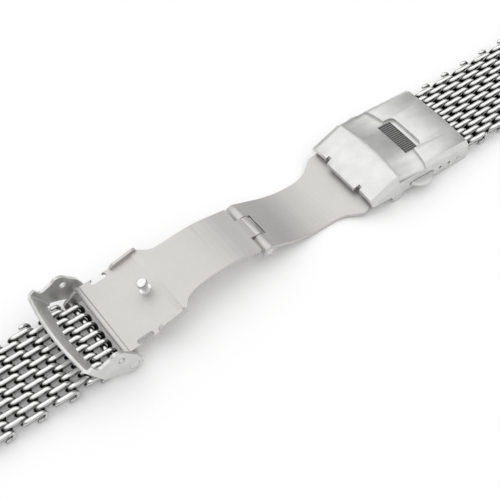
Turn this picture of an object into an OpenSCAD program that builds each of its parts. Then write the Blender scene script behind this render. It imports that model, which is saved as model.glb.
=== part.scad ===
// Mesh watch band with a folding safety clasp, laid out open.
// X runs along the band, Y across it, and the table is at Z 0.

/* [Mesh] */
// wire thickness of the spirals
wire_d = 1; // [0.8:0.02:1]
// distance between neighbouring wires of one spiral
wire_pitch = 1.34; // [1.32:0.02:1.42]
// thickness of the mesh
mesh_thick = 3.64; // [3.5:0.02:3.7]
// length of one spiral loop along the band, over its bends
loop_len = 6.2; // [6.16:0.02:6.3]
// row spacing of the left strap, which lies stretched
left_row = 3.7; // [3.4:0.05:3.7]
// row spacing of the right strap, which lies pushed together
right_row = 3.15; // [3.15:0.05:3.5]

/* [Cover] */
// width over the side walls
cover_w = 22; // [22:0.1:23]
// length of the cover behind the hinge of the lower blade
cover_rear = 21.2; // [20.5:0.1:24]
// length of the cover in front of that hinge
cover_front = 7.4; // [6.8:0.1:7.8]
// sheet thickness of the cover
cover_t = 0.75; // [0.6:0.05:0.75]
// height of the crown above the hinge of the lower blade
cover_top = 6.3; // [6.2:0.05:6.5]
// radius of the crown across the band
crown_r = 109; // [90:1:160]
// angle of the front slope
slope = 27; // [25:0.5:28]
// depth of the grip recess
recess_d = 0.85; // [0.6:0.05:0.9]
// width of the ribbed pad
pad_w = 9.9; // [8:0.1:10.2]
// number of ribs on the pad
pad_ribs = 18; // [10:1:22]
// spacing of the adjustment holes
adjust_step = 2.7; // [2.4:0.05:2.8]

/* [Blades] */
// distance between the two hinges of the lower blade
lower_span = 33.3; // [33:0.1:33.6]
// distance from the middle hinge to the pivot of the flip lock
upper_span = 38.3; // [38:0.1:38.6]
// sheet thickness of the blades
blade_t = 0.8; // [0.6:0.05:0.85]
// width of the lower blade at its waist
lower_w = 14.1; // [12:0.1:15]
// width of the upper blade at its waist
upper_w = 13.8; // [12:0.1:15]
// diameter of the middle hinge pin
pin_d = 1.6; // [1.2:0.05:1.8]
// outside diameter of the knuckles
knuckle_d = 3.2; // [2.9:0.05:3.3]
// width of the centre knuckle
centre_w = 5.8; // [4:0.1:7]
// height of the post above its blade
post_h = 3.7; // [3.5:0.05:3.8]
// diameter of the post head
head_d = 2.4; // [2:0.05:2.5]

/* [Flip lock] */
// sheet thickness of the flip lock
lock_t = 0.75; // [0.6:0.05:0.8]
// angle from closed to the open rest position
lock_open = 119; // [117:0.5:119.5]
// diameter of the lock pivots
lock_pin_d = 1.4; // [1.1:0.05:1.5]

/* [Push buttons] */
// thickness of a button plate
button_t = 0.85; // [0.6:0.05:0.9]
// how far a tab stands out of the side wall
tab_out = 1.9; // [1.5:0.1:2.2]
// length of a tab along the band
tab_len = 6.8; // [5:0.1:6.9]

/* [Spring bars] */
// tube diameter
bar_d = 1.4; // [1.2:0.05:1.45]
// tip diameter
tip_d = 0.7; // [0.7:0.05:0.85]
// clear width of the watch lugs that the bars fit
lug_w = 22; // [21.8:0.1:22.6]
// how far a tip can be pushed in
tip_travel = 0.9; // [0.6:0.05:0.9]

/* [Hidden] */

steel = [0.80, 0.80, 0.79];
bright = [0.90, 0.90, 0.89];
dark = [0.62, 0.62, 0.61];
blade_grey = [0.74, 0.73, 0.71];

run_gap = 0.03;      // radial clearance of a turning fit
side_gap = 0.15;     // clearance beside a turning or folding piece
left_rows = 14;
right_rows = 15;
wires = 16;

// Places that the pieces share.
wire_z = (mesh_thick - wire_d) / 2;
bend_r = sqrt(pow(wire_z, 2) + pow(wire_pitch / 2, 2));
bend_tilt = asin(wire_pitch / 2 / bend_r);
bend_d = wire_d - 0.02;              // the wire thins a little where it is bent
wire_run = loop_len / 2 - bend_d / 2 - bend_r;
mesh_z = mesh_thick / 2;
bar_off = wire_run + 0.1;            // bar axis from the middle of its spiral

hinge_a = [lower_span, 1.2];         // lower blade in the cover
hinge_b = [0, 4.5];                  // middle hinge
lock_p = [-upper_span, 2.7];         // flip lock on the upper blade
cover_tilt = 6;
half_w = cover_w / 2;
wall_in = half_w - cover_t;
wall_foot = 1.05;                    // lower edge of the side walls
left_bar_x = lock_p[0] - 2.68;
hole_x = [18.25 - 2 * adjust_step, 18.25 - adjust_step, 18.25];
hole_z = (mesh_z - hinge_a[1] + hole_x[2] * sin(cover_tilt)) / cos(cover_tilt);
right_bar_x = hinge_a[0] + hole_x[2] * cos(cover_tilt) + hole_z * sin(cover_tilt);
hole_d = tip_d + 0.1;
left_x0 = left_bar_x - bar_off;
right_x0 = right_bar_x + bar_off;
left_end_x = left_x0 - (left_rows - 1) * left_row;
right_end_x = right_x0 + (right_rows - 1) * right_row;
mid_x = (left_end_x - loop_len / 2 + right_end_x + loop_len / 2) / 2;

arm_out = wall_in - side_gap;        // outer face of the arms of the lower blade
arm_t = 0.85;
lug_out = 10.1;                      // outer face of the strap lugs
lug_t = 0.7;
post_x = -27.3;

module band() {
  translate([-mid_x, 0, 0]) children();
}

// Places its children in the cover's own frame: origin on the hinge, X to the rear, Z up.
module in_cover() {
  band() translate([hinge_a[0], 0, hinge_a[1]]) rotate([0, cover_tilt, 0]) children();
}

// A cylinder along Y from y0 to y1, centred on x and z.
module across(x, z, d, y0, y1, n = 48) {
  translate([x, y1, z]) rotate([90, 0, 0]) cylinder(d = d, h = y1 - y0, $fn = n);
}

// Extrudes an XZ outline across the band from y0 to y1.
module side_plate(y0, y1) {
  translate([0, y1, 0]) rotate([90, 0, 0]) linear_extrude(height = y1 - y0) children();
}

// Extrudes a YZ section along the band from x0 to x1.
module along(x0, x1) {
  translate([x0, 0, 0]) rotate([90, 0, 90]) linear_extrude(height = x1 - x0) children();
}

module both_sides() {
  children();
  mirror([0, 1, 0]) children();
}

// Curves.
// Height of a smooth curve through knots [x, value, slope] at x.
function herm1(a, b, x) =
  let (h = b[0] - a[0], t = (x - a[0]) / h)
  (2 * pow(t, 3) - 3 * pow(t, 2) + 1) * a[1] + (pow(t, 3) - 2 * pow(t, 2) + t) * h * a[2]
  + (3 * pow(t, 2) - 2 * pow(t, 3)) * b[1] + (pow(t, 3) - pow(t, 2)) * h * b[2];
function herm(k, x, i = 0) =
  (i >= len(k) - 2 || x <= k[i + 1][0]) ? herm1(k[i], k[i + 1], x) : herm(k, x, i + 1);
function slope_at(k, x) = (herm(k, x + 0.01) - herm(k, x - 0.01)) / 0.02;

// Outline of a sheet whose upper face follows knots k, with thickness t.
function sheet_outline(k, t, n = 26) =
  let (x0 = k[0][0], x1 = k[len(k) - 1][0])
  concat(
    [for (i = [0:n]) let (x = x0 + (x1 - x0) * i / n) [x, herm(k, x)]],
    [for (i = [n:-1:0])
      let (x = x0 + (x1 - x0) * i / n, s = slope_at(k, x), l = sqrt(1 + s * s))
      [x + t * s / l, herm(k, x) - t / l]]
  );

// Closed smooth outline through points p, n steps between each two.
function smooth(p, n = 4) =
  let (m = len(p))
  [for (i = [0:m - 1], j = [0:n - 1])
    let (a = p[(i + m - 1) % m], b = p[i], c = p[(i + 1) % m], d = p[(i + 2) % m], t = j / n)
    0.5 * (2 * b + (c - a) * t + (2 * a - 5 * b + 4 * c - d) * t * t
      + (3 * b - a - 3 * c + d) * t * t * t)];

// A tube swept along a helix from z 0 to length, its wire wound n turns at radius r.
module wound_spring(length, r, wire, turns) {
  per_turn = 8;
  sides = 6;
  count = turns * per_turn;
  rise = length / count;
  lean = atan2(rise, 2 * PI * r / per_turn);
  points = [for (i = [0:count], k = [0:sides - 1])
    let (
      a = i * 360 / per_turn,
      b = k * 360 / sides,
      out = wire / 2 * cos(b),
      up = wire / 2 * sin(b)
    )
    [
      (r + out) * cos(a) + up * sin(lean) * sin(a),
      (r + out) * sin(a) - up * sin(lean) * cos(a),
      i * rise + up * cos(lean)
    ]];
  skin = [for (i = [0:count - 1], k = [0:sides - 1], half = [0:1])
    let (a = i * sides + k, b = i * sides + (k + 1) % sides, c = a + sides, d = b + sides)
    half == 0 ? [a, c, b] : [b, c, d]];
  start = [for (k = [1:sides - 2]) [0, k, k + 1]];
  last = count * sides;
  finish = [for (k = [1:sides - 2]) [last, last + k + 1, last + k]];
  translate([0, 0, wire / 2 * cos(lean)])
    polyhedron(points = points, faces = concat(skin, start, finish));
}

// Cover.
ridge_x = -0.43;
hw_run = 0.636;      // fall of the edge bevel
edge_h = 1.15;       // crown centre to the foot of the bevel

// Section across the cover, set in by s, with its crown centre at top and its bevel foot eh lower.
module crown_section(w, top, s, foot, eh = edge_h) {
  a = w - s;
  k = w - (eh + (sqrt(1 + hw_run * hw_run) - 1) * s) / hw_run;
  e = top - eh - sqrt(1 + hw_run * hw_run) * s + hw_run * s;
  intersection() {
    polygon([[-a, foot], [-a, e], [-k, top - s], [k, top - s], [a, e], [a, foot]]);
    translate([0, top - crown_r]) circle(r = crown_r - s, $fn = 240);
  }
}

// Solid of the cover set in by s: a level top that meets a front slope.
module cover_form(s, foot, front, rear) {
  intersection() {
    along(front, rear) crown_section(half_w, cover_top, s, foot);
    translate([ridge_x, 0, cover_top]) rotate([0, -slope, 0])
      along(-20, 45) crown_section(half_w, 0, s, -45, edge_h + 0.06);
  }
}

groove_r = 45;
groove_mid = 1.1;
step_mid = 9.2;
pad_x = [6.95, 10.55];

// Plan of the grip recess, grown by g.
module recess_plan(g = 0) {
  intersection() {
    difference() {
      translate([step_mid + g - groove_r, 0]) circle(r = groove_r, $fn = 240);
      translate([groove_mid - g - groove_r, 0]) circle(r = groove_r, $fn = 240);
    }
    translate([-6, -half_w - 1]) square([20, cover_w + 2]);
  }
  // thumb notch behind the pad
  nx = 11.6 + g;
  ny = 5.3 + g;
  translate([5, -ny + 1.4]) square([nx - 5, 2 * ny - 2.8]);
  translate([5, -ny]) square([nx - 6.4, 2 * ny]);
  for (side = [-1, 1])
    translate([nx - 1.4, side * (ny - 1.4)]) circle(r = 1.4, $fn = 40);
}

module front_plan() {
  tongue = cover_front + 0.7;
  difference() {
    polygon([
      [-cover_front, -half_w + 0.5], [-cover_front + 0.5, -half_w - 1], [cover_rear, -half_w - 1],
      [cover_rear, half_w + 1], [-cover_front + 0.5, half_w + 1], [-cover_front, half_w - 0.5],
      [-cover_front, 4.9], [-tongue, 4.7], [-tongue, -4.7], [-cover_front, -4.9]
    ]);
    for (side = [-1, 1])
      translate([-cover_front - 1, side * 5.4 - 0.5]) square([1.7, 1]);
  }
}

slot_x = [3.5, 10.7];
slot_z = [1.95, 3.0];

module clasp_cover_solid() {
  difference() {
    union() {
      difference() {
        intersection() {
          cover_form(0, wall_foot, -cover_front - 1, cover_rear);
          linear_extrude(height = 20) front_plan();
        }
        // grip recess
        intersection() {
          along(-4, 14) difference() {
            translate([-15, 2]) square([30, 10]);
            crown_section(half_w + 1.5, cover_top - recess_d, 0, 0);
          }
          translate([0, 0, 1]) linear_extrude(height = 12) recess_plan();
        }
        // hollow underneath
        difference() {
          cover_form(cover_t, -6, -cover_front - 3, cover_rear + 3);
          intersection() {
            along(-5, 15) difference() {
              translate([-15, 2]) square([30, 10]);
              crown_section(half_w + 1.5, cover_top - recess_d, cover_t, 0);
            }
            translate([0, 0, 1]) linear_extrude(height = 12) recess_plan(cover_t * 0.8);
          }
        }
      }
      // ears of the side walls round the hinge
      both_sides() {
        side_plate(wall_in, half_w) difference() {
          union() {
            circle(r = 1.15, $fn = 48);
            polygon([[-1.15, 0], [-2.2, wall_foot + 0.4], [2.2, wall_foot + 0.4], [1.15, 0]]);
          }
        }
      }
    }
    // window for the ribbed pad
    translate([pad_x[0] - 0.05, -pad_w / 2 - 0.05, 3])
      cube([pad_x[1] - pad_x[0] + 0.1, pad_w + 0.1, 6]);
    // button slots
    for (side = [-1, 1])
      translate([side > 0 ? 2 * post_cx - slot_x[1] : slot_x[0],
          side > 0 ? wall_in - 0.5 : -half_w - 0.5, slot_z[0]])
        cube([slot_x[1] - slot_x[0], cover_t + 1, slot_z[1] - slot_z[0]]);
    // adjustment holes and rivet holes
    for (x = hole_x)
      across(x, hole_z, hole_d, -half_w - 1, half_w + 1, 32);
    across(0, 0, rivet_d, -half_w - 1, half_w + 1, 32);
  }
}

rivet_d = 1.4;

module clasp_cover() {
  color(steel) in_cover() clasp_cover_solid();
}

// Two rivets with low domes that join the arms of the lower blade to the cover walls.
module cover_hinge_rivets() {
  color(bright) in_cover() both_sides() union() {
    across(0, 0, rivet_d, arm_out - arm_t - 0.1, half_w + 0.05, 32);
    across(0, 0, rivet_d + 0.5, arm_out - arm_t - 0.3, arm_out - arm_t - 0.08, 32);
  }
}

// Ribbed pad: body in the window, wings under the sheet.
module thumb_grip_pad() {
  floor_z = 4.62;
  ridge_z = cover_top - recess_d - 0.12;
  rib = pad_w / (pad_ribs * 2 - 1);
  color(dark) in_cover() union() {
    translate([pad_x[0], -pad_w / 2, floor_z])
      cube([pad_x[1] - pad_x[0], pad_w, ridge_z - 0.35 - floor_z]);
    for (i = [0:pad_ribs - 1])
      translate([pad_x[0] + 0.15, -pad_w / 2 + i * 2 * rib, floor_z + 0.1])
        cube([pad_x[1] - pad_x[0] - 0.3, rib, ridge_z - floor_z - 0.1]);
    for (side = [-1, 1])
      translate([pad_x[0], side > 0 ? pad_w / 2 - 0.4 : -pad_w / 2 - 1.2, floor_z - 0.4])
        cube([pad_x[1] - pad_x[0], 1.6, 0.26]);
    for (side = [-1, 1])
      translate([pad_x[0], side > 0 ? pad_w / 2 - 0.4 : -pad_w / 2, floor_z - 0.4])
        cube([pad_x[1] - pad_x[0], 0.4, 0.6]);
  }
}

// Latch.
plate_z = [3.05, 3.5];
foot_z = 1.4;
post_cx = 6.5;       // where the post head arrives in the cover
spring_y = 5.1;      // inner end of a button spring

// Frame between the walls: a plate over the buttons, and a lip with a foot in front of and behind them.
module latch_frame() {
  w = wall_in - 0.05;
  color(steel) in_cover() difference() {
    union() {
      translate([1.9, -w, plate_z[0]]) cube([9.7, 2 * w, plate_z[1] - plate_z[0]]);
      for (side = [-1, 1])
        translate([1.9, side > 0 ? w - 0.5 : -w, plate_z[0]]) cube([9.7, 0.5, 1.0]);
      translate([1.9, -8.5, foot_z]) cube([0.6, 17, plate_z[0] - foot_z + 0.1]);
      translate([1.9, -8.5, foot_z]) cube([1.2, 17, 0.5]);
      translate([11, -8.5, foot_z]) cube([0.6, 17, plate_z[0] - foot_z + 0.1]);
      translate([10.2, -8.5, foot_z]) cube([1.4, 17, 0.5]);
      // lugs that the springs push against
      translate([4.2, -spring_y, 1.75]) cube([1.4, 0.6, plate_z[0] - 1.65]);
      translate([2 * post_cx - 5.6, spring_y - 0.6, 1.75]) cube([1.4, 0.6, plate_z[0] - 1.65]);
    }
    // window for the post head
    translate([post_cx - 1.9, -2.2, 3]) cube([3.8, 4.4, 1]);
    // clearance over the springs
    translate([4.1, -8.3, 2.9]) cube([1.6, 3.1, 0.9]);
    translate([2 * post_cx - 5.7, 5.2, 2.9]) cube([1.6, 3.1, 0.9]);
  }
}

// One push button, drawn for the near side: tab, root plate, arm and release hook.
module push_button() {
  z0 = slot_z[1] - 0.1 - button_t;
  tab_y = -half_w - tab_out;
  tab_x = (slot_x[0] + slot_x[1]) / 2;
  tab_r = (pow(tab_len / 2, 2) + pow(tab_out + 0.6, 2)) / (2 * (tab_out + 0.6));
  translate([0, 0, z0]) linear_extrude(height = button_t) union() {
    intersection() {
      translate([tab_x, tab_y + tab_r]) circle(r = tab_r, $fn = 96);
      translate([tab_x - tab_len / 2, tab_y - 1]) square([tab_len, tab_out + 1.7]);
    }
    translate([tab_x - tab_len / 2 + 0.1, -half_w - 0.02]) square([tab_len - 0.2, half_w - 8.2 + 0.02]);
    translate([8.3, -9]) square([2, 12.2]);
    translate([5.6, 1.28]) square([3.5, 1.92]);
  }
}

module push_button_near() {
  color(bright) in_cover() push_button();
}

module push_button_far() {
  color(bright) in_cover() translate([2 * post_cx, 0, 0]) rotate([0, 0, 180]) push_button();
}

spring_wire = 0.22;
button_spring_d = 1.3;
spring_z = slot_z[1] - 0.1 - button_t / 2;

module button_spring() {
  translate([4.9, -8.15, spring_z]) rotate([-90, 0, 0])
    wound_spring(8.15 - spring_y - 0.05 - spring_wire, (button_spring_d - spring_wire) / 2, spring_wire, 4);
}

module button_spring_near() {
  color(dark) in_cover() button_spring();
}

module button_spring_far() {
  color(dark) in_cover() translate([2 * post_cx, 0, 0]) rotate([0, 0, 180]) button_spring();
}

// Lower blade.
lower_knots = [
  [0.25, hinge_b[1] + knuckle_d / 2 - 0.08, -0.45], [4, 4.3, -0.5], [9, 2.08, -0.32], [13, 1.12, -0.13],
  [17, blade_t, 0], [22, 1.32, 0.16], [26, 2.1, 0.18], [29.5, 2.5, 0.03]
];

// Half width of the lower blade at x.
function lower_half(x) =
  x < 18 ? herm([[0, lower_w / 2 + 0.2, 0], [9, lower_w / 2 + 0.15, -0.02], [15, lower_w / 2, 0], [18, lower_w / 2 + 0.06, 0.06]], x)
  : min(arm_out, herm([[18, lower_w / 2 + 0.06, 0.06], [21, lower_w / 2 + 0.75, 0.42], [23.4, 9.45, 0.75], [25, arm_out, 0]], x));

module plan_of(x0, x1, n, kind) {
  function hw(x) = kind == 0 ? lower_half(x) : upper_half(x);
  polygon(concat(
    [for (i = [0:n]) let (x = x0 + (x1 - x0) * i / n) [x, hw(x)]],
    [for (i = [n:-1:0]) let (x = x0 + (x1 - x0) * i / n) [x, -hw(x)]]
  ));
}

module lower_blade() {
  r = knuckle_d / 2;
  gap_y = centre_w / 2 + side_gap;
  color(blade_grey) band() difference() {
    union() {
      intersection() {
        side_plate(-12, 12) polygon(sheet_outline(lower_knots, blade_t));
        translate([0, 0, -1]) linear_extrude(height = 12) difference() {
          plan_of(0, 29.5, 44, 0);
          // room for the centre knuckle
          translate([-1, -gap_y]) square([1 + r + 0.4, 2 * gap_y]);
          // room for the latch between the arms
          translate([27.6, -arm_out + arm_t + 1.1]) square([4, 2 * (arm_out - arm_t - 1.1)]);
          for (side = [-1, 1])
            translate([28.7, side > 0 ? arm_out - arm_t - 0.35 : -arm_out + 0.1 ])
              square([4, arm_t + 0.25 - 0.1]);
        }
      }
      // outer knuckles
      both_sides() across(hinge_b[0], hinge_b[1], knuckle_d, gap_y, lower_w / 2 + 0.2);
      // arms to the cover hinge
      both_sides() side_plate(arm_out - arm_t, arm_out) union() {
        translate([hinge_a[0], hinge_a[1]]) circle(r = 1.15, $fn = 48);
        polygon([
          [26.4, 1.5], [28.6, 1.5], [30.4, 1.2], [hinge_a[0] - 0.6, 0.25],
          [hinge_a[0] + 0.5, hinge_a[1] + 1.03], [31, 2.45], [28.6, 2.49], [26.4, 2.1]
        ]);
      }
    }
    across(hinge_b[0], hinge_b[1], pin_d + 0.02, -12, 12);
    across(hinge_a[0], hinge_a[1], rivet_d + 2 * run_gap, -12, 12, 32);
  }
}

module mid_hinge_pin() {
  color(bright) band() across(hinge_b[0], hinge_b[1], pin_d, -lower_w / 2 - 0.2, lower_w / 2 + 0.2);
}

// Upper blade.
upper_knots = [
  [lock_p[0] - 0.1, 5.0, 0], [-33, 5.12, 0.06], [post_x, 5.95, 0.22], [-20, 7.5, 0.19],
  [-13, 8.25, 0.02], [-6, 7.55, -0.24], [-2, 6.55, -0.21], [-0.3, hinge_b[1] + knuckle_d / 2 - 0.06, -0.2]
];

// Half width of the upper blade at x.
function upper_half(x) =
  x < -19 ? herm([[-40, lug_out, 0], [-24.2, 9.95, 0], [-23.6, 9.7, -0.9], [-21.6, 7.75, -0.6], [-19, upper_w / 2 + 0.15, -0.08]], x)
  : herm([[-19, upper_w / 2 + 0.15, -0.08], [-14, upper_w / 2, 0], [-6, upper_w / 2 - 0.15, 0], [0, upper_w / 2, 0]], x);

module upper_blade() {
  r = knuckle_d / 2;
  gap_y = centre_w / 2 + side_gap;
  tilt = atan(0.22);
  color(blade_grey) band() difference() {
    union() {
      intersection() {
        side_plate(-12, 12) polygon(sheet_outline(upper_knots, blade_t));
        linear_extrude(height = 12) difference() {
          plan_of(lock_p[0] - 0.1, 0, 56, 1);
          // necks that pass between the arms of the lower blade
          for (side = [-1, 1]) {
            translate([-34.9, side > 0 ? 8.6 : -12]) square([2.6, 3.4]);
            translate([-34.9, side * 9.3]) circle(r = 0.7, $fn = 32);
            translate([-32.3, side * 9.3]) circle(r = 0.7, $fn = 32);
          }
          // room for the outer knuckles
          for (side = [-1, 1])
            translate([-r - 0.4, side > 0 ? centre_w / 2 : -12]) square([4, 12 - centre_w / 2]);
        }
      }
      across(hinge_b[0], hinge_b[1], knuckle_d, -centre_w / 2, centre_w / 2);
      // rolled end
      across(lock_p[0] - 0.05, 4.47, 1.5, -lug_out, lug_out, 40);
      // strap lugs
      both_sides() side_plate(lug_out - lug_t, lug_out) union() {
        translate([left_bar_x, mesh_z]) circle(r = 1.45, $fn = 48);
        translate([lock_p[0], lock_p[1]]) circle(r = 1.75, $fn = 48);
        polygon([
          [left_bar_x - 0.9, mesh_z + 1.1], [lock_p[0] - 1.1, 4.55], [lock_p[0] + 0.6, 4.75],
          [lock_p[0] + 2.9, 4.75], [lock_p[0] + 2.6, 4.0], [lock_p[0] + 1.5, 1.9],
          [lock_p[0] - 0.4, 1.0], [left_bar_x + 0.2, mesh_z - 1.4]
        ]);
      }
      // guide tabs, bent up from the edges
      both_sides() intersection() {
        side_plate(9.3, 9.95) polygon(concat(
          [for (i = [0:8]) let (x = -30.4 + 6.7 * i / 8) [x, herm(upper_knots, x) - 0.4]],
          [for (i = [8:-1:0])
            let (x = -30.4 + 6.7 * i / 8, e = min(1, min(i, 8 - i) / 1.0))
            [x, herm(upper_knots, x) + 0.55 + 0.5 * e]]
        ));
        translate([-31, 0, 0]) cube([8, 12, 12]);
      }
    }
    across(hinge_b[0], hinge_b[1], pin_d + 2 * run_gap, -12, 12);
    across(left_bar_x, mesh_z, hole_d, -12, 12, 32);
    across(lock_p[0], lock_p[1], lock_pin_d, -12, 12, 32);
    translate([post_x, 0, herm(upper_knots, post_x)]) rotate([0, -tilt, 0])
      translate([0, 0, -3]) cylinder(d = 1.5, h = 6, $fn = 32);
  }
}

// Mushroom post riveted through the upper blade, square to it.
module catch_post() {
  tilt = atan(0.22);
  stem = 1.5;
  color(bright) band() translate([post_x, 0, herm(upper_knots, post_x)]) rotate([0, -tilt, 0]) union() {
    translate([0, 0, -blade_t]) cylinder(d = stem, h = blade_t + 1, $fn = 32);
    translate([0, 0, 0.02]) cylinder(d = 2.6, h = 0.5, $fn = 40);
    rotate_extrude($fn = 48) polygon([
      [0, 0.3], [0.8, 0.3], [0.8, post_h - 1.35], [head_d / 2 - 0.1, post_h - 1.2], [head_d / 2, post_h - 1.1],
      [head_d / 2, post_h - 0.3], [head_d / 2 - 0.15, post_h - 0.08], [head_d / 2 - 0.4, post_h], [0, post_h]
    ]);
  }
}

// Flip lock.
lock_half = half_w + 0.95;           // outer face of the ears
ear_in = lock_half - lock_t;
lock_top = cover_top + 0.3;

// Outline of an ear, closed position, c to the rear of the pivot and h above it.
ear_points = [
  [5.0, 6.4], [8.2, 6.6], [10.9, 6.2], [10.5, 5.0], [8.6, 3.7], [8.25, 2.3], [8.05, 1.0], [8.15, -0.3],
  [6.8, -1.45], [4.6, -1.9], [2.6, -2.3], [0.8, -2.15], [-0.9, -1.9], [-2.05, -0.7], [-1.9, 0.8],
  [-0.9, 2.0], [1.8, 3.6], [4.1, 5.3]
];

module lock_solid() {
  difference() {
    intersection() {
      difference() {
        along(-6, 16) crown_section(lock_half, lock_top, 0, -6);
        along(-7, 17) crown_section(lock_half, lock_top, lock_t, -8);
      }
      union() {
        both_sides() side_plate(ear_in - 0.6, lock_half + 1) polygon(smooth(ear_points));
        // bowed strip across the band
        translate([0, 0, 4]) linear_extrude(height = 5) difference() {
          translate([12.0 - 55, 0]) circle(r = 55, $fn = 240);
          translate([6.6 - 48, 0]) circle(r = 48, $fn = 240);
          translate([-120, -60]) square([121, 120]);
          translate([0, 14]) square([30, 30]);
          translate([0, -44]) square([30, 30]);
        }
      }
    }
    across(0, 0, lock_pin_d + 0.1, -15, 15, 32);
    // seat of the rivet heads
    both_sides() across(0, 0, 2.3, lock_half - 0.27, lock_half + 1, 32);
    // detent holes
    across(4.96, 0.2, 1.6, -15, 15, 32);
  }
}

module flip_lock() {
  color(steel) band() translate([lock_p[0], 0, lock_p[1]]) rotate([0, -lock_open, 0]) lock_solid();
}

module lock_pivot_rivets() {
  color(bright) band() both_sides() union() {
    across(lock_p[0], lock_p[1], lock_pin_d, lug_out - lug_t, lock_half - 0.02, 32);
    across(lock_p[0], lock_p[1], 2.2, lug_out + 0.01, ear_in - 0.05, 40);
    across(lock_p[0], lock_p[1], 2.2, lock_half - 0.25, lock_half - 0.02, 40);
  }
}

// Spring bars.
// reach is the outer end of a tip, seat the face that its shoulder rests on.
tube_bore = bar_d - 0.28;

module bar_tube(x, seat) {
  y = seat - 0.25 - tip_travel - 0.1;
  color(steel) band() difference() {
    across(x, mesh_z, bar_d, -y, y, 40);
    across(x, mesh_z, tube_bore, -y - 1, y + 1, 32);
  }
}

module bar_tip(x, seat, reach, side) {
  y = seat - 0.25 - tip_travel - 0.1;
  color(bright) band() mirror([0, side > 0 ? 0 : 1, 0]) union() {
    across(x, mesh_z, tip_d, seat - 0.2, reach, 32);
    across(x, mesh_z, bar_d - 0.2, seat - 0.25, seat - 0.03, 32);
    across(x, mesh_z, tube_bore - 0.06, y - 2.5, seat - 0.2, 32);
  }
}

module bar_spring(x, seat) {
  y = seat - 0.25 - tip_travel - 0.1 - 2.5 - 0.03;
  w = 0.16;
  color(dark) band() translate([x, -y, mesh_z]) rotate([-90, 0, 0])
    wound_spring(2 * y - w, (tube_bore - 0.08 - w) / 2, w, 8);
}

left_seat = lug_out - lug_t;
right_seat = wall_in;
lug_seat = lug_w / 2;

// Mesh.
// Half ring of wire on the +X side that comes down from an upper to a lower wire.
module bend(lean) {
  rotate([lean * bend_tilt, 0, 0]) rotate([90, 0, 0]) rotate([0, 0, -90])
    rotate_extrude(angle = 180, $fn = 48) translate([bend_r, 0]) circle(d = bend_d, $fn = 24);
}

// Bent wire end in the plane of its own wire: a quarter turn, or a half turn that closes the loop.
module wire_end(turn) {
  rotate([90, 0, 0]) rotate([0, 0, 90 - turn])
    rotate_extrude(angle = turn, $fn = 48) translate([wire_z, 0]) circle(d = bend_d, $fn = 24);
}

// One spiral. Wires a to b; those whose number has the parity odd run on top.
module spiral(x, odd, a, b, closed) {
  lap = 0.03;
  function wy(j) = (j - (wires - 1) / 2) * wire_pitch;
  function up(j) = (j % 2 == odd) ? 1 : -1;
  color(steel) band() translate([x, 0, mesh_z]) union() {
    for (j = [a:b])
      translate([-wire_run - lap, wy(j), up(j) * wire_z])
        rotate([0, 90, 0]) cylinder(d = wire_d, h = 2 * (wire_run + lap), $fn = 24);
    for (j = [a:b])
      if (up(j) > 0 && j > a)
        translate([wire_run, wy(j - 0.5), 0]) bend(-1);
    for (j = [a:b])
      if (up(j) > 0 && j < b)
        translate([-wire_run, wy(j + 0.5), 0]) mirror([1, 0, 0]) bend(1);
    // the two wire ends
    for (j = [a, b]) {
      right_free = (up(j) > 0 && j == a) || (up(j) < 0 && j == b);
      translate([right_free ? wire_run : -wire_run, wy(j), 0])
        mirror([right_free ? 0 : 1, 0, 0]) mirror([0, 0, up(j) > 0 ? 0 : 1])
          wire_end(closed ? 180 : 90);
      if (closed)
        translate([right_free ? wire_run - 0.9 : -wire_run - lap, wy(j), -up(j) * wire_z])
          rotate([0, 90, 0]) cylinder(d = wire_d, h = 0.9 + lap, $fn = 24);
    }
  }
}

// Rows alternate between wide spirals, closed at their ends, and narrow ones.
module left_spiral(i) {
  x = left_x0 - i * left_row;
  if (i % 2 == 0) {
    spiral(x, 1, 1, wires - 2, false);
  } else {
    spiral(x, 0, 0, wires - 1, true);
  }
}

module right_spiral(i) {
  x = right_x0 + i * right_row;
  if (i == 0) {
    spiral(x, 0, 1, wires - 2, false);
  } else if (i % 2 == 1) {
    spiral(x, 1, 1, wires - 2, false);
  } else {
    spiral(x, 0, 0, wires - 1, true);
  }
}

left_lug_x = left_end_x - bar_off;
right_lug_x = right_end_x + bar_off;

clasp_cover();
thumb_grip_pad();
latch_frame();
cover_hinge_rivets();
push_button_near();
push_button_far();
button_spring_near();
button_spring_far();
lower_blade();
mid_hinge_pin();
upper_blade();
catch_post();
flip_lock();
lock_pivot_rivets();
bar_tube(left_bar_x, left_seat);  // left_clasp_bar_tube
bar_spring(left_bar_x, left_seat);  // left_clasp_bar_spring
bar_tip(left_bar_x, left_seat, lug_out, -1);  // left_clasp_bar_tip_near
bar_tip(left_bar_x, left_seat, lug_out, 1);  // left_clasp_bar_tip_far
bar_tube(right_bar_x, right_seat);  // right_clasp_bar_tube
bar_spring(right_bar_x, right_seat);  // right_clasp_bar_spring
bar_tip(right_bar_x, right_seat, half_w - 0.1, -1);  // right_clasp_bar_tip_near
bar_tip(right_bar_x, right_seat, half_w - 0.1, 1);  // right_clasp_bar_tip_far
bar_tube(left_lug_x, lug_seat);  // left_lug_bar_tube
bar_spring(left_lug_x, lug_seat);  // left_lug_bar_spring
bar_tip(left_lug_x, lug_seat, lug_seat + 1.1, -1);  // left_lug_bar_tip_near
bar_tip(left_lug_x, lug_seat, lug_seat + 1.1, 1);  // left_lug_bar_tip_far
bar_tube(right_lug_x, lug_seat);  // right_lug_bar_tube
bar_spring(right_lug_x, lug_seat);  // right_lug_bar_spring
bar_tip(right_lug_x, lug_seat, lug_seat + 1.1, -1);  // right_lug_bar_tip_near
bar_tip(right_lug_x, lug_seat, lug_seat + 1.1, 1);  // right_lug_bar_tip_far
left_spiral(0);  // left_spiral_01
left_spiral(1);  // left_spiral_02
left_spiral(2);  // left_spiral_03
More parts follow.
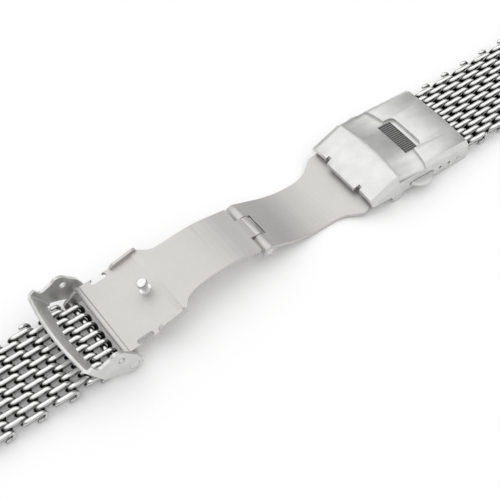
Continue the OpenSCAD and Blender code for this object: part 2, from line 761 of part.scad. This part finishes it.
left_spiral(3);  // left_spiral_04
left_spiral(4);  // left_spiral_05
left_spiral(5);  // left_spiral_06
left_spiral(6);  // left_spiral_07
left_spiral(7);  // left_spiral_08
left_spiral(8);  // left_spiral_09
left_spiral(9);  // left_spiral_10
left_spiral(10);  // left_spiral_11
left_spiral(11);  // left_spiral_12
left_spiral(12);  // left_spiral_13
left_spiral(13);  // left_spiral_14
right_spiral(0);  // right_spiral_01
right_spiral(1);  // right_spiral_02
right_spiral(2);  // right_spiral_03
right_spiral(3);  // right_spiral_04
right_spiral(4);  // right_spiral_05
right_spiral(5);  // right_spiral_06
right_spiral(6);  // right_spiral_07
right_spiral(7);  // right_spiral_08
right_spiral(8);  // right_spiral_09
right_spiral(9);  // right_spiral_10
right_spiral(10);  // right_spiral_11
right_spiral(11);  // right_spiral_12
right_spiral(12);  // right_spiral_13
right_spiral(13);  // right_spiral_14
right_spiral(14);  // right_spiral_15
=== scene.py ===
import math

import bpy
from mathutils import Matrix, Vector


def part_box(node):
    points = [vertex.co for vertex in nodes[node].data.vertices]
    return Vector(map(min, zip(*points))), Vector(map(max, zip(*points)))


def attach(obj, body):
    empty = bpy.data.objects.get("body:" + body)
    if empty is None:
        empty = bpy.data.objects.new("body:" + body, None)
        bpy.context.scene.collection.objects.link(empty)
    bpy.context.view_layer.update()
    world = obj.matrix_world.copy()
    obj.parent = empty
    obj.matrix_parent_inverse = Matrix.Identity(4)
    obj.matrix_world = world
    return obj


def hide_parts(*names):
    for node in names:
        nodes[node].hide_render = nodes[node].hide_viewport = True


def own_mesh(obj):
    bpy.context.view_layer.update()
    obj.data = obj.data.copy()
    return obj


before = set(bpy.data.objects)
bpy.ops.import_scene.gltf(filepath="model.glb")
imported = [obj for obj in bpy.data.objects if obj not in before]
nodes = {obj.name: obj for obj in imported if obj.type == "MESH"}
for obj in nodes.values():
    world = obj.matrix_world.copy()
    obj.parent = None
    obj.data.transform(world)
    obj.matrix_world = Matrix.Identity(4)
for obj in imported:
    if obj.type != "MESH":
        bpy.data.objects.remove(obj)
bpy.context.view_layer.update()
scene = bpy.context.scene


# The camera stands over the near left corner of the laid-out band and looks down across it.
# Its place and lens are those that fit the band's known widths.
eye = Vector((-0.08404, -0.11922, 0.19471))
right = Vector((0.8025, -0.5957, -0.0333)).normalized()
back = Vector((-0.329, -0.4885, 0.8082)).normalized()
up = back.cross(right).normalized()
right = up.cross(back).normalized()

camera = bpy.data.objects.new("camera", bpy.data.cameras.new("camera"))
camera.data.sensor_width = 36
camera.data.lens = 78.1
camera.data.clip_start = 0.01
camera.data.clip_end = 20
camera.matrix_world = Matrix((
    (right.x, up.x, back.x, eye.x),
    (right.y, up.y, back.y, eye.y),
    (right.z, up.z, back.z, eye.z),
    (0, 0, 0, 1),
))
scene.collection.objects.link(camera)
scene.camera = camera


# The table top is a white sheet that runs past the picture on every side.
# It carries the band's soft shadow and shows up white in the polished wires.
def fill_material(name, build):
    material = bpy.data.materials.new(name)
    material.use_nodes = True
    tree = material.node_tree
    tree.nodes.clear()
    build(tree)
    return material


def table_shader(tree):
    out = tree.nodes.new("ShaderNodeOutputMaterial")
    paper = tree.nodes.new("ShaderNodeBsdfDiffuse")
    paper.inputs["Color"].default_value = (0.90, 0.90, 0.90, 1)
    glow = tree.nodes.new("ShaderNodeEmission")
    glow.inputs["Color"].default_value = (1, 1, 1, 1)
    both = tree.nodes.new("ShaderNodeAddShader")
    path = tree.nodes.new("ShaderNodeLightPath")
    seen = tree.nodes.new("ShaderNodeMath")
    seen.operation = "MAXIMUM"
    seen_glass = tree.nodes.new("ShaderNodeMath")
    seen_glass.operation = "MAXIMUM"
    level = tree.nodes.new("ShaderNodeMath")
    level.operation = "MULTIPLY"
    level.inputs[1].default_value = 0.10
    tree.links.new(path.outputs["Is Camera Ray"], seen.inputs[0])
    tree.links.new(path.outputs["Is Glossy Ray"], seen.inputs[1])
    tree.links.new(seen.outputs[0], seen_glass.inputs[0])
    tree.links.new(path.outputs["Is Transmission Ray"], seen_glass.inputs[1])
    tree.links.new(seen_glass.outputs[0], level.inputs[0])
    tree.links.new(level.outputs[0], glow.inputs["Strength"])
    tree.links.new(paper.outputs[0], both.inputs[0])
    tree.links.new(glow.outputs[0], both.inputs[1])
    tree.links.new(both.outputs[0], out.inputs["Surface"])


table_half = 3          # m
table_z = -0.00005      # m, a hair below the faces that rest on it
table_mesh = bpy.data.meshes.new("table")
table_mesh.from_pydata([
    (-table_half, -table_half, table_z), (table_half, -table_half, table_z),
    (table_half, table_half, table_z), (-table_half, table_half, table_z),
], [], [(0, 1, 2, 3)])
table = bpy.data.objects.new("table", table_mesh)
table_mesh.materials.append(fill_material("table_paper", table_shader))
scene.collection.objects.link(table)


# A wide soft lamp stands beyond the band and to its left, a weaker one fills in from the near side.
# The room is pale overhead and darker round the horizon, which gives the round wires their contrast.
def softbox(name, place, aim, size, power):
    lamp = bpy.data.lights.new(name, "AREA")
    lamp.shape = "RECTANGLE"
    lamp.size = size[0]
    lamp.size_y = size[1]
    lamp.energy = power
    holder = bpy.data.objects.new(name, lamp)
    holder.location = place
    holder.rotation_euler = (Vector(aim) - Vector(place)).to_track_quat("-Z", "Y").to_euler()
    scene.collection.objects.link(holder)


softbox("key_softbox", (-0.30, 0.55, 0.75), (0, 0, 0), (2.0, 1.6), 3.2)
softbox("fill_softbox", (0.55, -0.15, 0.60), (0, 0, 0), (0.8, 0.8), 0.6)

room = bpy.data.worlds.new("room")
room.use_nodes = True
scene.world = room
room_tree = room.node_tree
room_tree.nodes.clear()
room_out = room_tree.nodes.new("ShaderNodeOutputWorld")
room_light = room_tree.nodes.new("ShaderNodeBackground")
room_place = room_tree.nodes.new("ShaderNodeTexCoord")
room_height = room_tree.nodes.new("ShaderNodeSeparateXYZ")
room_ramp = room_tree.nodes.new("ShaderNodeValToRGB")
room_ramp.color_ramp.elements[0].position = 0.0
room_ramp.color_ramp.elements[0].color = (0.06, 0.06, 0.06, 1)
room_ramp.color_ramp.elements[1].position = 0.75
room_ramp.color_ramp.elements[1].color = (0.95, 0.95, 0.95, 1)
middle = room_ramp.color_ramp.elements.new(0.32)
middle.color = (0.42, 0.42, 0.42, 1)
room_light.inputs["Strength"].default_value = 1.08
room_tree.links.new(room_place.outputs["Generated"], room_height.inputs[0])
room_tree.links.new(room_height.outputs["Z"], room_ramp.inputs["Fac"])
room_tree.links.new(room_ramp.outputs["Color"], room_light.inputs["Color"])
room_tree.links.new(room_light.outputs[0], room_out.inputs["Surface"])

scene.view_settings.view_transform = "Standard"


# The clasp cover is pressed from stainless sheet and satin-finished along its length.
# The latch frame and the flip lock are finished with it.
# The sharp edges of the cover and the lock are broken a little.
def group_socket(group, name, kind, inward, value=None):
    socket = group.interface.new_socket(
        name=name, in_out="INPUT" if inward else "OUTPUT", socket_type=kind)
    if value is not None:
        socket.default_value = value


def make_satin_grain():
    """Fine parallel lines left by an abrasive belt: a height for the bump and a mask for gloss."""
    group = bpy.data.node_groups.new("satin_grain", "ShaderNodeTree")
    group_socket(group, "Across", "NodeSocketVector", True, (900.0, 9000.0, 9000.0))
    group_socket(group, "Cloud Size", "NodeSocketFloat", True, 120.0)
    group_socket(group, "Height", "NodeSocketFloat", False)
    group_socket(group, "Cloud", "NodeSocketFloat", False)
    enter = group.nodes.new("NodeGroupInput")
    leave = group.nodes.new("NodeGroupOutput")
    place = group.nodes.new("ShaderNodeTexCoord")
    stretch = group.nodes.new("ShaderNodeVectorMath")
    stretch.operation = "MULTIPLY"
    lines = group.nodes.new("ShaderNodeTexNoise")
    lines.inputs["Scale"].default_value = 1.0
    lines.inputs["Detail"].default_value = 3.0
    lines.inputs["Roughness"].default_value = 0.65
    cloud = group.nodes.new("ShaderNodeTexNoise")
    cloud.inputs["Detail"].default_value = 4.0
    cloud.inputs["Roughness"].default_value = 0.55
    group.links.new(place.outputs["Object"], stretch.inputs[0])
    group.links.new(enter.outputs["Across"], stretch.inputs[1])
    group.links.new(stretch.outputs[0], lines.inputs["Vector"])
    group.links.new(place.outputs["Object"], cloud.inputs["Vector"])
    group.links.new(enter.outputs["Cloud Size"], cloud.inputs["Scale"])
    group.links.new(lines.outputs["Fac"], leave.inputs["Height"])
    group.links.new(cloud.outputs["Fac"], leave.inputs["Cloud"])
    return group


satin_grain = make_satin_grain()


def steel_material(name, pale, deep, gloss, across, bump, cloud=120.0):
    """Stainless steel. The cloud mixes the colours pale and deep. gloss holds the roughness limits."""
    def build(tree):
        out = tree.nodes.new("ShaderNodeOutputMaterial")
        steel = tree.nodes.new("ShaderNodeBsdfPrincipled")
        steel.inputs["Metallic"].default_value = 1.0
        grain = tree.nodes.new("ShaderNodeGroup")
        grain.node_tree = satin_grain
        grain.inputs["Across"].default_value = across
        grain.inputs["Cloud Size"].default_value = cloud
        tone = tree.nodes.new("ShaderNodeMix")
        tone.data_type = "RGBA"
        tone.inputs["A"].default_value = (*deep, 1)
        tone.inputs["B"].default_value = (*pale, 1)
        spread = tree.nodes.new("ShaderNodeMapRange")
        spread.inputs["From Min"].default_value = 0.3
        spread.inputs["From Max"].default_value = 0.7
        spread.inputs["To Min"].default_value = gloss[0]
        spread.inputs["To Max"].default_value = gloss[1]
        relief = tree.nodes.new("ShaderNodeBump")
        relief.inputs["Strength"].default_value = bump
        relief.inputs["Distance"].default_value = 0.00001
        tree.links.new(grain.outputs["Cloud"], tone.inputs["Factor"])
        tree.links.new(tone.outputs["Result"], steel.inputs["Base Color"])
        tree.links.new(grain.outputs["Height"], spread.inputs["Value"])
        tree.links.new(spread.outputs["Result"], steel.inputs["Roughness"])
        tree.links.new(grain.outputs["Height"], relief.inputs["Height"])
        tree.links.new(relief.outputs["Normal"], steel.inputs["Normal"])
        tree.links.new(steel.outputs[0], out.inputs["Surface"])
    return fill_material(name, build)


def dress(names, material):
    for name in names:
        mesh = nodes[name].data
        mesh.materials.clear()
        mesh.materials.append(material)


crease_angle = 28       # degrees, the least bend that counts as a sharp edge


def break_edges(names, width):
    """Rounds the sharp edges of sheet pieces a little."""
    for name in names:
        piece = nodes[name]
        join = piece.modifiers.new("join_faces", "WELD")
        join.merge_threshold = 0.000002
        edge = piece.modifiers.new("broken_edges", "BEVEL")
        edge.width = width
        edge.segments = 2
        edge.limit_method = "ANGLE"
        edge.angle_limit = math.radians(crease_angle)
        edge.harden_normals = True


cover_satin = steel_material(
    "cover_satin_steel", (0.775, 0.775, 0.76), (0.61, 0.61, 0.595), (0.38, 0.52),
    (700, 9000, 9000), 0.4, 420)
dress(["clasp_cover", "latch_frame", "flip_lock"], cover_satin)
break_edges(["clasp_cover", "flip_lock"], 0.00012)


# The thumb pad is a separate ribbed insert. Its colour is set darker than the cover's, a painted shade
# for the shadow its grooves hold.
# It is pressed into the window of the grip recess.
pad_shaded_steel = steel_material(
    "ribbed_pad_shaded_steel", (0.34, 0.34, 0.335), (0.22, 0.22, 0.22), (0.26, 0.38),
    (700, 9000, 9000), 0.3)
dress(["thumb_grip_pad"], pad_shaded_steel)


# The rivets, the pin, the post and the push buttons are turned or blanked and then polished.
# The buttons slide in the latch frame, and the others are fixed in the sheet pieces that they join.
turned_steel = steel_material(
    "turned_steel", (0.74, 0.74, 0.73), (0.68, 0.68, 0.67), (0.14, 0.24),
    (5000, 600, 5000), 0.15)
dress([
    "cover_hinge_rivets", "mid_hinge_pin", "catch_post", "lock_pivot_rivets",
    "push_button_near", "push_button_far",
], turned_steel)


# The two folding blades are stamped from sheet and tumbled, so their faces are duller and warmer.
# They turn on the cover's rivets and on the pin between them.
blade_steel = steel_material(
    "blade_matt_steel", (0.64, 0.625, 0.605), (0.57, 0.56, 0.545), (0.46, 0.58),
    (2600, 5200, 5200), 0.3, 70)
dress(["lower_blade", "upper_blade"], blade_steel)
break_edges(["lower_blade", "upper_blade"], 0.00009)


# Four spring bars, two in the clasp and two at the watch ends, hold the straps.
# Each is a thin steel tube with a spring inside it and two shouldered tips.
bars = ("left_clasp_bar", "right_clasp_bar", "left_lug_bar", "right_lug_bar")
spring_wire = steel_material(
    "spring_wire_steel", (0.50, 0.50, 0.49), (0.42, 0.42, 0.41), (0.25, 0.35),
    (5000, 5000, 5000), 0.2)
dress([f"{bar}_{part}" for bar in bars for part in ("tube", "tip_near", "tip_far")], turned_steel)
dress([f"{bar}_spring" for bar in bars] + ["button_spring_near", "button_spring_far"], spring_wire)


# The mesh is 29 wound wire spirals, each hooked through its neighbours, rolled a little flat and
# polished. Rows alternate between wide ones, whose end loops are closed, and narrow ones with free
# quarter turns.
wire_rise = 1.32        # mm from the middle of the mesh to the middle of a wire
wire_step = 1.34        # mm between neighbouring wires of one spiral
half_loop = 3.1         # mm from the middle of a row to the outside of its bends
wire_r = 0.48           # mm
wire_flat = 0.10        # mm that rolling adds to each side of a run
wire_seat = 0.49        # mm from the outside of a bend to the middle of its wire
last_wire = 15          # number of the last wire of a wide row, counted from 0
free_sweep = 84         # degrees that the free end of a narrow row bends
tail = (0.3, 0.6, 0.9)  # mm that a closed end runs back, point by point
run_steps, bend_steps, turn_steps = 8, 12, 14
flat_from = 0.55        # share of a turn's height above which the flat of the run fades in
turn_r = math.hypot(wire_rise, wire_step / 2)
straight = half_loop - wire_seat - turn_r


def wire_path(top_parity, first, last, closed):
    """Centre line of one spiral in mm about its own middle: points, width axes and shares of the flat.
    top_parity is 0 where the even wires lie on top, and 1 where the odd ones do."""
    path = []
    lean = math.asin(wire_step / 2 / turn_r)
    across = Vector((0, 1, 0))

    def height(j):
        return wire_rise if j % 2 == top_parity else -wire_rise

    def place(j):
        return (j - last_wire / 2) * wire_step

    def free_end(j, side, outward):
        """The bent end of a wire beyond one of its outer ends, listed from the run outward."""
        z = height(j)
        points = []
        sweep = 180 if closed else free_sweep
        for k in range(1, bend_steps + 1):
            a = math.radians(sweep * k / bend_steps)
            x = side * (straight + wire_rise * math.sin(a))
            points.append((Vector((x, place(j), z * math.cos(a))), across, 0.0))
        if closed:
            for x in tail:
                points.append((Vector((side * (straight - x), place(j), -z)), across, 0.0))
        return points if outward else points[::-1]

    for j in range(first, last + 1):
        top = height(j) > 0
        start = straight if top else -straight
        if j == first:
            path += free_end(j, 1 if top else -1, False)
        for k in range(run_steps + 1):
            spot = Vector((start * (1 - 2 * k / run_steps), place(j), height(j)))
            path.append((spot, across, 1.0))
        if j == last:
            path += free_end(j, -1 if top else 1, True)
            break
        side = -1 if top else 1
        direction = 1 if top else -1
        for k in range(1, turn_steps):
            a = math.radians(180 * k / turn_steps)
            along = turn_r * math.cos(a) * direction
            spot = Vector((
                side * (straight + turn_r * math.sin(a)),
                place(j + 0.5) - along * math.sin(lean) * direction,
                along * math.cos(lean)))
            wide = Vector((0, math.cos(lean), math.sin(lean) * direction))
            path.append((spot, wide, max(0.0, abs(math.cos(a)) - flat_from) / (1 - flat_from)))
    return path


sides = 12


def sweep_wire(name, path, middle, radius, flat):
    """A closed wire with round ends swept along the path. flat is the extra half width of its runs."""
    points = [p for p, w, f in path]
    count = len(points)
    verts, faces = [], []
    for i, (point, wide, share) in enumerate(path):
        ahead = points[min(i + 1, count - 1)] - points[max(i - 1, 0)]
        ahead.normalize()
        near = [path[min(max(i + d, 0), count - 1)] for d in (-2, -1, 0, 1, 2)]
        wide = sum((w for p, w, f in near), Vector()).normalized()
        share = sum(f for p, w, f in near) / len(near)
        wide = (wide - ahead * wide.dot(ahead)).normalized()
        tall = ahead.cross(wide)
        # The last two rings at each end draw in, so that the wire ends round.
        reach = min(1.0, 0.55 + 0.3 * min(i, count - 1 - i))
        for k in range(sides):
            a = 2 * math.pi * k / sides
            rim = wide * math.cos(a) * (radius + flat * share) + tall * math.sin(a) * radius
            spot = point + rim * reach
            verts.append((spot + middle) * 0.001)
    for i in range(count - 1):
        for k in range(sides):
            a, b = i * sides + k, i * sides + (k + 1) % sides
            faces.append((a, b, b + sides, a + sides))
    faces.append(tuple(range(sides - 1, -1, -1)))
    faces.append(tuple(range((count - 1) * sides, count * sides)))
    mesh = bpy.data.meshes.new(name)
    mesh.from_pydata(verts, [], faces)
    mesh.polygons.foreach_set("use_smooth", [True] * len(faces))
    mesh.update()
    wire = bpy.data.objects.new(name, mesh)
    scene.collection.objects.link(wire)
    return wire


mesh_wire = steel_material(
    "polished_mesh_wire", (0.84, 0.84, 0.835), (0.76, 0.76, 0.75), (0.10, 0.20),
    (1500, 1500, 1500), 0.12)


mesh_middle = 0.00182           # m above the table
full_shade_depth = 0.0009           # m from the middle of the mesh, up to which the painted shade is full
unshaded_depth = 0.0017           # m from the middle of the mesh, beyond which a wire has no painted shade
full_shade_share = 0.03             # of the colour, left where the painted shade is full
strap_edge = (0.0090, 0.0099)   # m from the middle of the strap, over which the painted shade lifts from the edge loops
edge_share = 0.75               # of the colour, left at least beyond that


def paint_depth_shade(material):
    """Paints the shade between the wires: the colour falls from the outer faces to the hidden middle.
    The outermost loops, which stand free at the strap edges, get less of this painted shade and stay
    fairly bright all the way down."""
    tree = material.node_tree
    steel = next(n for n in tree.nodes if n.type == "BSDF_PRINCIPLED")
    colour = steel.inputs["Base Color"].links[0].from_socket
    place = tree.nodes.new("ShaderNodeTexCoord")
    split = tree.nodes.new("ShaderNodeSeparateXYZ")
    depth = tree.nodes.new("ShaderNodeMath")
    depth.operation = "SUBTRACT"
    depth.inputs[1].default_value = mesh_middle
    outward = tree.nodes.new("ShaderNodeMath")
    outward.operation = "ABSOLUTE"
    mask = tree.nodes.new("ShaderNodeMapRange")
    mask.interpolation_type = "SMOOTHSTEP"
    mask.inputs["From Min"].default_value = full_shade_depth
    mask.inputs["From Max"].default_value = unshaded_depth
    mask.inputs["To Min"].default_value = full_shade_share
    mask.inputs["To Max"].default_value = 1.0
    aside = tree.nodes.new("ShaderNodeMath")
    aside.operation = "ABSOLUTE"
    edge = tree.nodes.new("ShaderNodeMapRange")
    edge.interpolation_type = "SMOOTHSTEP"
    edge.inputs["From Min"].default_value = strap_edge[0]
    edge.inputs["From Max"].default_value = strap_edge[1]
    edge.inputs["To Max"].default_value = edge_share
    either = tree.nodes.new("ShaderNodeMath")
    either.operation = "MAXIMUM"
    shaded_colour = tree.nodes.new("ShaderNodeVectorMath")
    shaded_colour.operation = "SCALE"
    tree.links.new(place.outputs["Object"], split.inputs[0])
    tree.links.new(split.outputs["Z"], depth.inputs[0])
    tree.links.new(depth.outputs[0], outward.inputs[0])
    tree.links.new(outward.outputs[0], mask.inputs["Value"])
    tree.links.new(colour, shaded_colour.inputs[0])
    tree.links.new(split.outputs["Y"], aside.inputs[0])
    tree.links.new(aside.outputs[0], edge.inputs["Value"])
    tree.links.new(mask.outputs["Result"], either.inputs[0])
    tree.links.new(edge.outputs["Result"], either.inputs[1])
    tree.links.new(either.outputs[0], shaded_colour.inputs["Scale"])
    tree.links.new(shaded_colour.outputs[0], steel.inputs["Base Color"])


# The mesh wire's colour carries painted shade, darker towards the middle of the mesh's thickness.
paint_depth_shade(mesh_wire)


def middle_mm(low, high, axis):
    """The middle of a box in m along one of its axes, in mm."""
    return (low[axis] + high[axis]) * 500


def wind_row(node, top_parity, first, last, closed):
    low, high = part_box(node)
    middle = Vector((middle_mm(low, high, 0), 0, middle_mm(low, high, 2)))
    path = wire_path(top_parity, first, last, closed)
    wire = sweep_wire(node + "_wire", path, middle, wire_r, wire_flat)
    wire.data.materials.append(mesh_wire)
    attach(wire, node)
    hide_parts(node)


left_rows, right_rows = 14, 15
for row in range(left_rows):
    if row % 2 == 0:
        wind_row(f"left_spiral_{row + 1:02d}", 1, 1, last_wire - 1, False)
    else:
        wind_row(f"left_spiral_{row + 1:02d}", 0, 0, last_wire, True)
for row in range(right_rows):
    if row == 0:
        wind_row(f"right_spiral_{row + 1:02d}", 0, 1, last_wire - 1, False)
    elif row % 2 == 1:
        wind_row(f"right_spiral_{row + 1:02d}", 1, 1, last_wire - 1, False)
    else:
        wind_row(f"right_spiral_{row + 1:02d}", 0, 0, last_wire, True)


# A small compression spring stands behind each push button.
# Each is one coil of round wire about a line across the band.
coil_turns, per_turn = 4, 24
button_spring_wire = 0.21       # mm


def coil_path(length, radius):
    """Centre line of a coil in mm about its own middle, wound round the Y axis."""
    path = []
    for i in range(coil_turns * per_turn + 1):
        a = 2 * math.pi * i / per_turn
        outward = Vector((math.cos(a), 0, math.sin(a)))
        rise = Vector((0, length * (i / (coil_turns * per_turn) - 0.5), 0))
        path.append((outward * radius + rise, outward, 0.0))
    return path


def wind_spring(node, name, body, wire, span):
    """A coil of the node's spring between the y values of span, in mm."""
    low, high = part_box(node)
    whole = span[1] - span[0]
    middle = Vector((middle_mm(low, high, 0), (span[0] + span[1]) / 2, middle_mm(low, high, 2)))
    outer_r = (high[0] - low[0]) * 500
    coil = sweep_wire(name, coil_path(whole - wire, outer_r - wire / 2), middle, wire / 2, 0)
    coil.data.materials.append(spring_wire)
    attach(coil, body)
    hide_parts(node)
    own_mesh(coil)


for end in ("near", "far"):
    node = f"button_spring_{end}"
    low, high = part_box(node)
    span = (low[1] * 1000, high[1] * 1000)
    wind_spring(
        node, node + "_coil", "cover", button_spring_wire, span)


# The spring of a spring bar is wound from finer wire and hidden in the tube.
# It is pushed from both ends, so it is drawn as two halves that meet at the middle.
bar_spring_wire = 0.15          # mm
for bar, body in (
        ("left_clasp_bar", "upper_blade"), ("right_clasp_bar", "cover"),
        ("left_lug_bar", "left_spiral_14"), ("right_lug_bar", "right_spiral_15")):
    node = bar + "_spring"
    low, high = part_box(node)
    for end, span in (("near", (low[1] * 1000, 0.0)), ("far", (0.0, high[1] * 1000))):
        wind_spring(
            node, f"{node}_{end}_half", body, bar_spring_wire, span)
